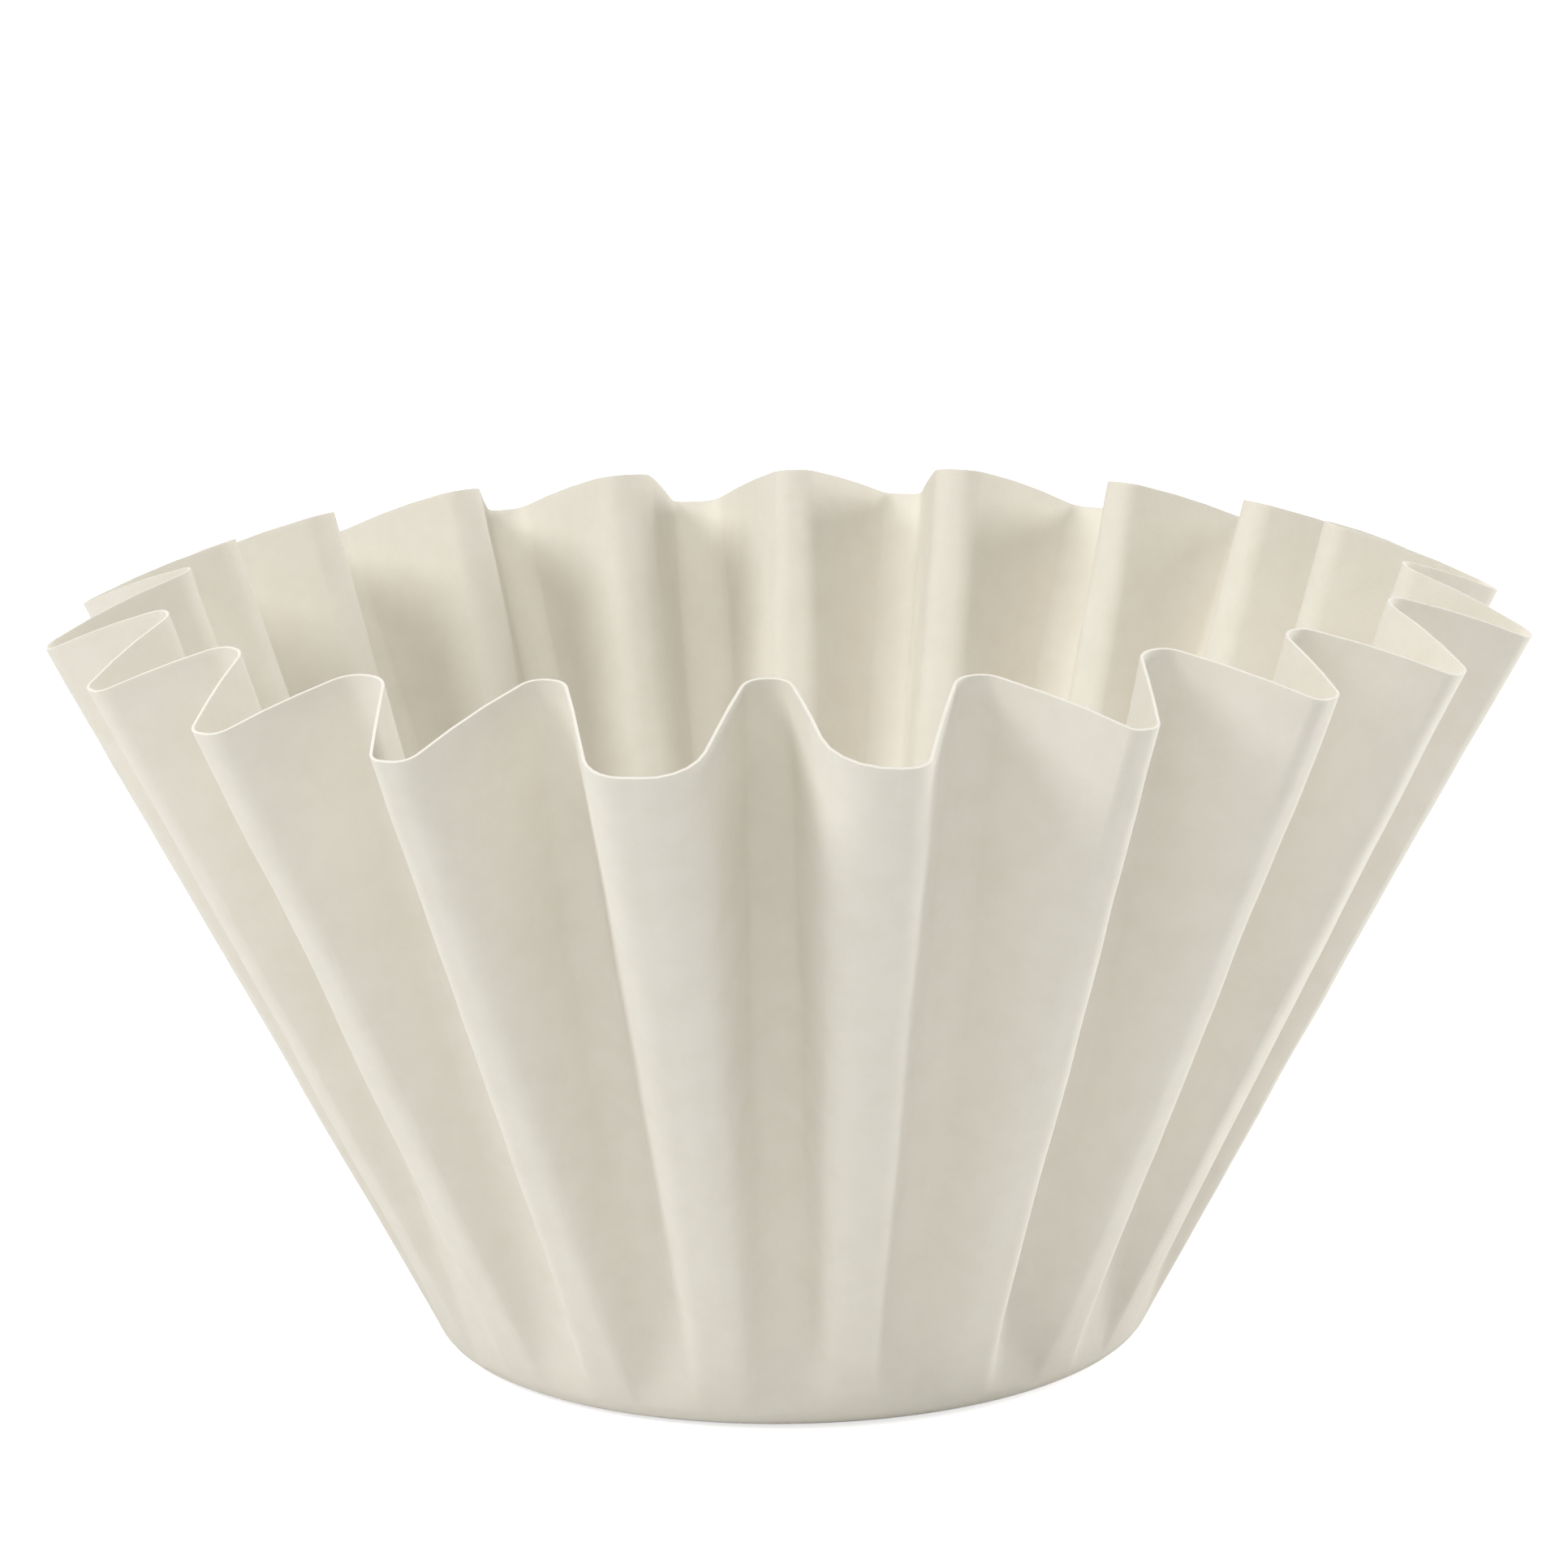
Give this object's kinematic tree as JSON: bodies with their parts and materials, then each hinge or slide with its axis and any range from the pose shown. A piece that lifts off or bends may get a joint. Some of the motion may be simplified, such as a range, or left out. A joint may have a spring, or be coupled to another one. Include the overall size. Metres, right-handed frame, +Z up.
{
  "type": "paper coffee filter",
  "caption": "Flat-bottomed cup of pressed filter paper with a deep fluted wall that flares to an open, zigzag rim; it lines a dripper and holds the coffee grounds.",
  "frame": {"origin": "middle of the flat underside", "axes": "+Z up through the open end, -Y towards the side that the picture shows"},
  "size_m": [0.1016, 0.1016, 0.055],
  "materials": {
    "filter_paper": "matt, off-white, unprinted"
  },
  "bodies": {
    "root": {"paper_filter": "filter_paper"}
  },
  "joints": []
}
